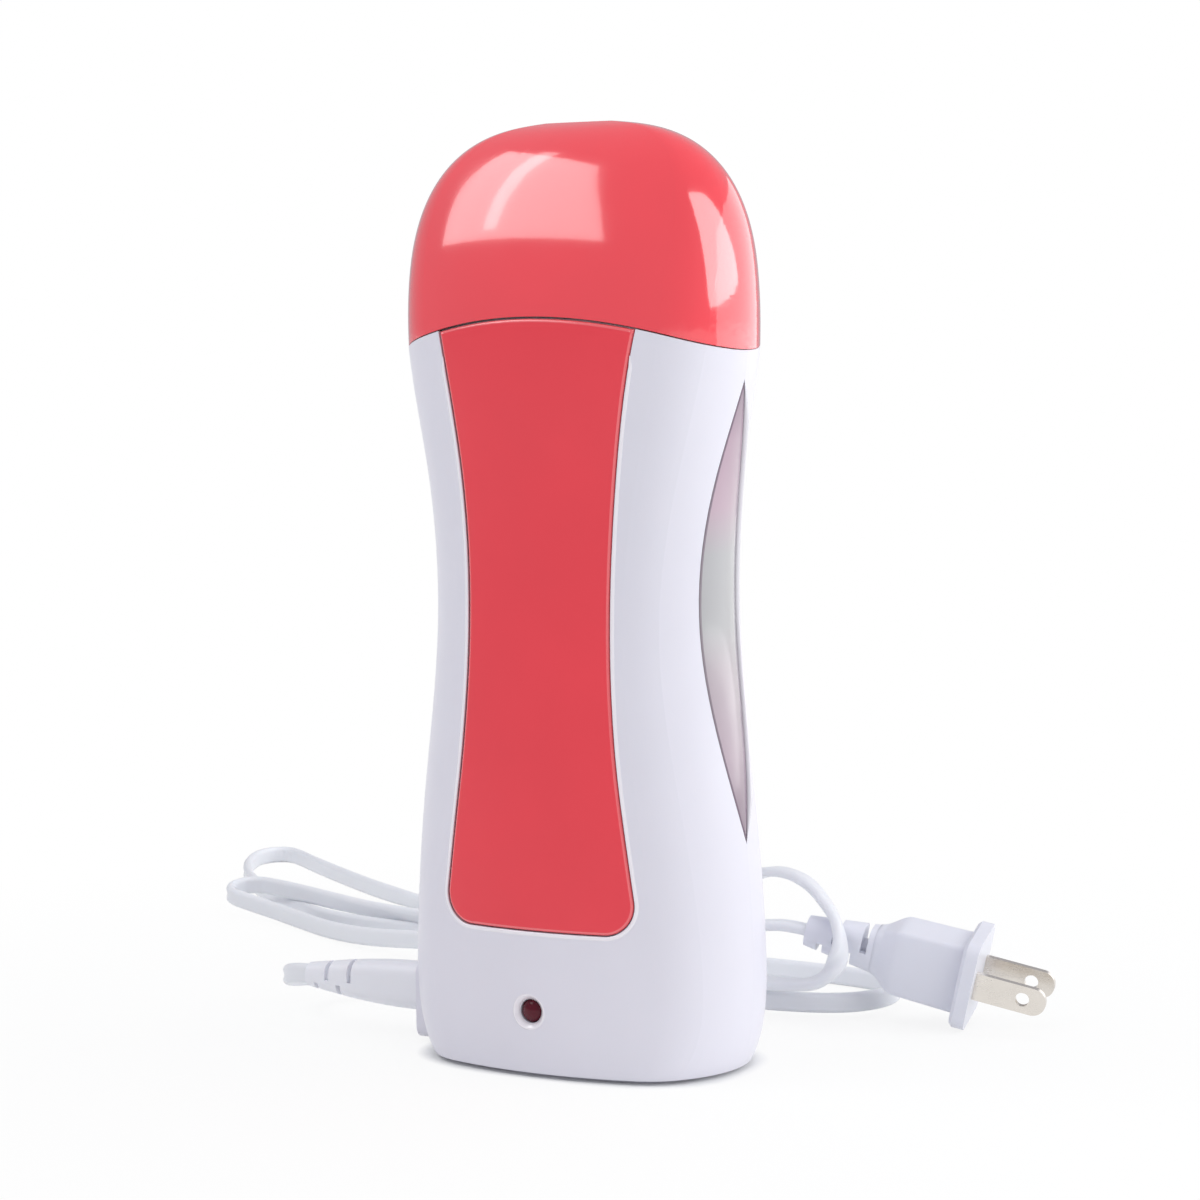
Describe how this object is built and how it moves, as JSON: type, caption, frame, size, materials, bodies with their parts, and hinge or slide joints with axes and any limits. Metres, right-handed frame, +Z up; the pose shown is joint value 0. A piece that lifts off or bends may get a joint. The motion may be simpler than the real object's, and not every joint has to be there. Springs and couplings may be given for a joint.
{
  "type": "roll on wax heater",
  "caption": "Waisted hand-held heater for roll-on wax cartridges: domed lift-off cap, coloured front insert, side level windows, indicator lamp and plug-in mains lead.",
  "frame": {"origin": "centre of the base, on the surface that the heater stands on", "axes": "-Y is the front with the coloured insert and the lamp, +Z is up, -X is the side with the mains inlet"},
  "size_m": [0.2955, 0.2092, 0.204],
  "materials": {
    "cap_coral": "polished",
    "panel_coral": "satin",
    "shell_white": "satin",
    "inner_plastic": "fine matt",
    "window_clear": "clear moulded",
    "well_aluminium": "drawn, satin",
    "heat_resistant_plastic": "matt",
    "element_case": "plain",
    "spring_steel": "plain",
    "screw_steel": "zinc plated",
    "sensor_plastic": "matt",
    "fuse_case": "plain",
    "lamp_red": "polished",
    "circuit_board": "coated",
    "resistor_body": "lacquered",
    "contact_brass": "bright",
    "wire_brown": "smooth",
    "wire_blue": "smooth",
    "lead_white": "satin",
    "blade_nickel": "nickel plated"
  },
  "bodies": {
    "heater": {"front_shell": "shell_white", "rear_shell": "shell_white", "front_panel": "panel_coral", "window_left": "window_clear", "window_right": "window_clear", "collar": "inner_plastic", "heating_well": "well_aluminium", "heater_shelf": "heat_resistant_plastic", "heating_element": "element_case", "heater_clip": "spring_steel", "clip_screws": "screw_steel", "thermostat": "sensor_plastic", "thermal_fuse": "fuse_case", "base_plate": "shell_white", "base_screws": "screw_steel", "lamp_lens": "lamp_red", "lamp_led": "lamp_red", "lamp_board": "circuit_board", "lamp_resistor": "resistor_body", "inlet_socket": "shell_white", "inlet_pins": "contact_brass", "wire_live": "wire_brown", "wire_neutral": "wire_blue", "wire_thermostat": "wire_brown", "wire_fuse": "wire_blue"},
    "cap": {"cap": "cap_coral"},
    "lead": {"connector": "lead_white", "cord": "lead_white", "plug_body": "lead_white", "plug_blades": "blade_nickel"}
  },
  "joints": [
    {"name": "cap_lift", "type": "slide", "parent": "heater", "child": "cap", "axis": [0, 0, 1], "range_m": [0, 0.08]},
    {"name": "lead_unplug", "type": "slide", "parent": "heater", "child": "lead", "axis": [-1, 0, 0], "range_m": [0, 0.03]}
  ]
}
